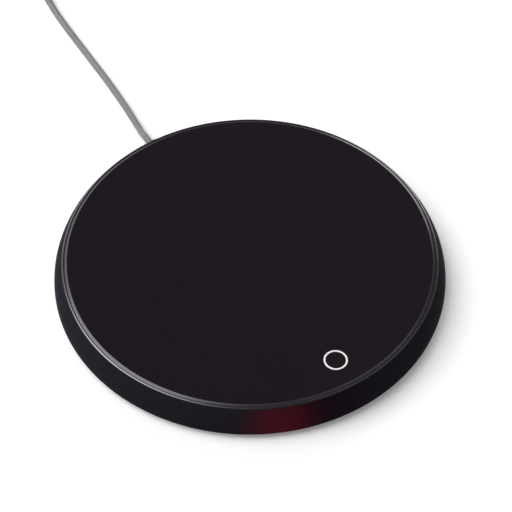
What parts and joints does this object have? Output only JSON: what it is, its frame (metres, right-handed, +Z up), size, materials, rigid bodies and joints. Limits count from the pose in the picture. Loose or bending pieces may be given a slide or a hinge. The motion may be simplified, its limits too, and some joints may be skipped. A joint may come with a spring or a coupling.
{
  "type": "electric mug warmer",
  "caption": "Low round electric mug warmer: a black glass plate with a touch-key ring, flush in a flared dark plastic housing on rubber feet, with a thin grey low-voltage cord.",
  "frame": {"origin": "on the disc's axis, at the height of the table that the rubber feet stand on", "axes": "+Z up through the glass, -Y the front with the touch key, +Y the back where the cord leaves, +X to the right seen from the front"},
  "size_m": [0.13, 0.2609, 0.0115],
  "materials": {
    "glass_black": "polished glass printed black underneath",
    "enamel_white": "fired white enamel line",
    "gasket_foam": "thin foam tape",
    "housing_satin": "satin moulded plastic",
    "base_plastic": "fine spark texture",
    "foot_rubber": "matt rubber",
    "screw_steel": "zinc-plated",
    "spreader_aluminium": "mill finish",
    "film_polyimide": "amber film",
    "track_foil": "etched resistance foil",
    "pad_felt": "glass-fibre felt",
    "thermistor_glass": "glass bead in cement",
    "fuse_metal": "tinned case",
    "board_laminate": "green solder resist",
    "chip_black": "moulded epoxy",
    "capacitor_ceramic": "fired ceramic",
    "led_red": "clear red lens",
    "guide_clear": "clear acrylic with a matt front",
    "connector_nylon": "natural nylon",
    "lead_silicone": "silicone insulation",
    "lead_red": "PVC insulation",
    "grommet_rubber": "soft PVC",
    "cord_grey": "smooth PVC jacket",
    "tie_fabric": "hook-and-loop strap",
    "plug_plastic": "moulded PVC",
    "plug_steel": "nickel-plated sheet",
    "contact_gold": "gold flash"
  },
  "bodies": {
    "root": {"top_glass": "glass_black", "touch_ring": "enamel_white", "glass_gasket": "gasket_foam", "housing": "housing_satin", "base_cover": "base_plastic", "rubber_feet": "foot_rubber", "base_screws": "screw_steel", "heat_spreader": "spreader_aluminium", "heater_film": "film_polyimide", "heater_track": "track_foil", "insulation_pad": "pad_felt", "heat_shield": "spreader_aluminium", "shield_screws": "screw_steel", "thermistor": "thermistor_glass", "thermal_fuse": "fuse_metal", "control_board": "board_laminate", "board_screws": "screw_steel", "controller_chip": "chip_black", "power_transistor": "chip_black", "board_capacitors": "capacitor_ceramic", "board_resistors": "chip_black", "touch_spring": "screw_steel", "indicator_led": "led_red", "light_guide": "guide_clear", "lead_connectors": "connector_nylon", "heater_leads": "lead_silicone", "sensor_leads": "lead_silicone", "supply_leads": "lead_red", "cord_grommet": "grommet_rubber", "cord_inner_end": "cord_grey", "cord_clamp": "base_plastic", "clamp_screws": "screw_steel", "power_cord": "cord_grey", "cord_coil": "cord_grey", "cord_tie": "tie_fabric", "usb_plug_body": "plug_plastic", "usb_shell": "plug_steel", "usb_tongue": "connector_nylon", "usb_contacts": "contact_gold"}
  },
  "joints": []
}
